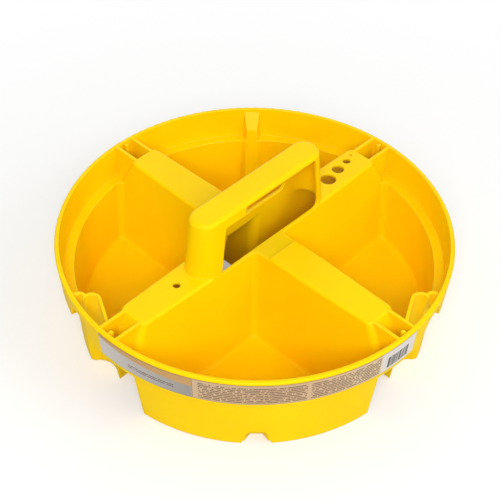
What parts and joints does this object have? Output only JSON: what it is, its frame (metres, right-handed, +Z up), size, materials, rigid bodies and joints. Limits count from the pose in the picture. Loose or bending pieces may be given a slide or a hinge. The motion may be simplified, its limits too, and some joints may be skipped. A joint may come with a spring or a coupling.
{
  "type": "small parts organizer",
  "caption": "Round moulded parts tray with open cups between hollow crossed arms, a raised carrying loop, a rim band with a bare label strip, and sizing holes.",
  "frame": {"origin": "centre of the base, on the surface that the tray stands on", "axes": "+Z up; the four arms lie along X and Y, the carrying handle along X; the front cup, at the middle of the label, is at -X -Y"},
  "size_m": [0.259, 0.2589, 0.1135],
  "materials": {
    "tray_plastic": "satin injection-moulded polypropylene, bright yellow",
    "label_paper": null
  },
  "bodies": {
    "root": {"organizer_tray": "tray_plastic", "label_strip": "label_paper"}
  },
  "joints": []
}
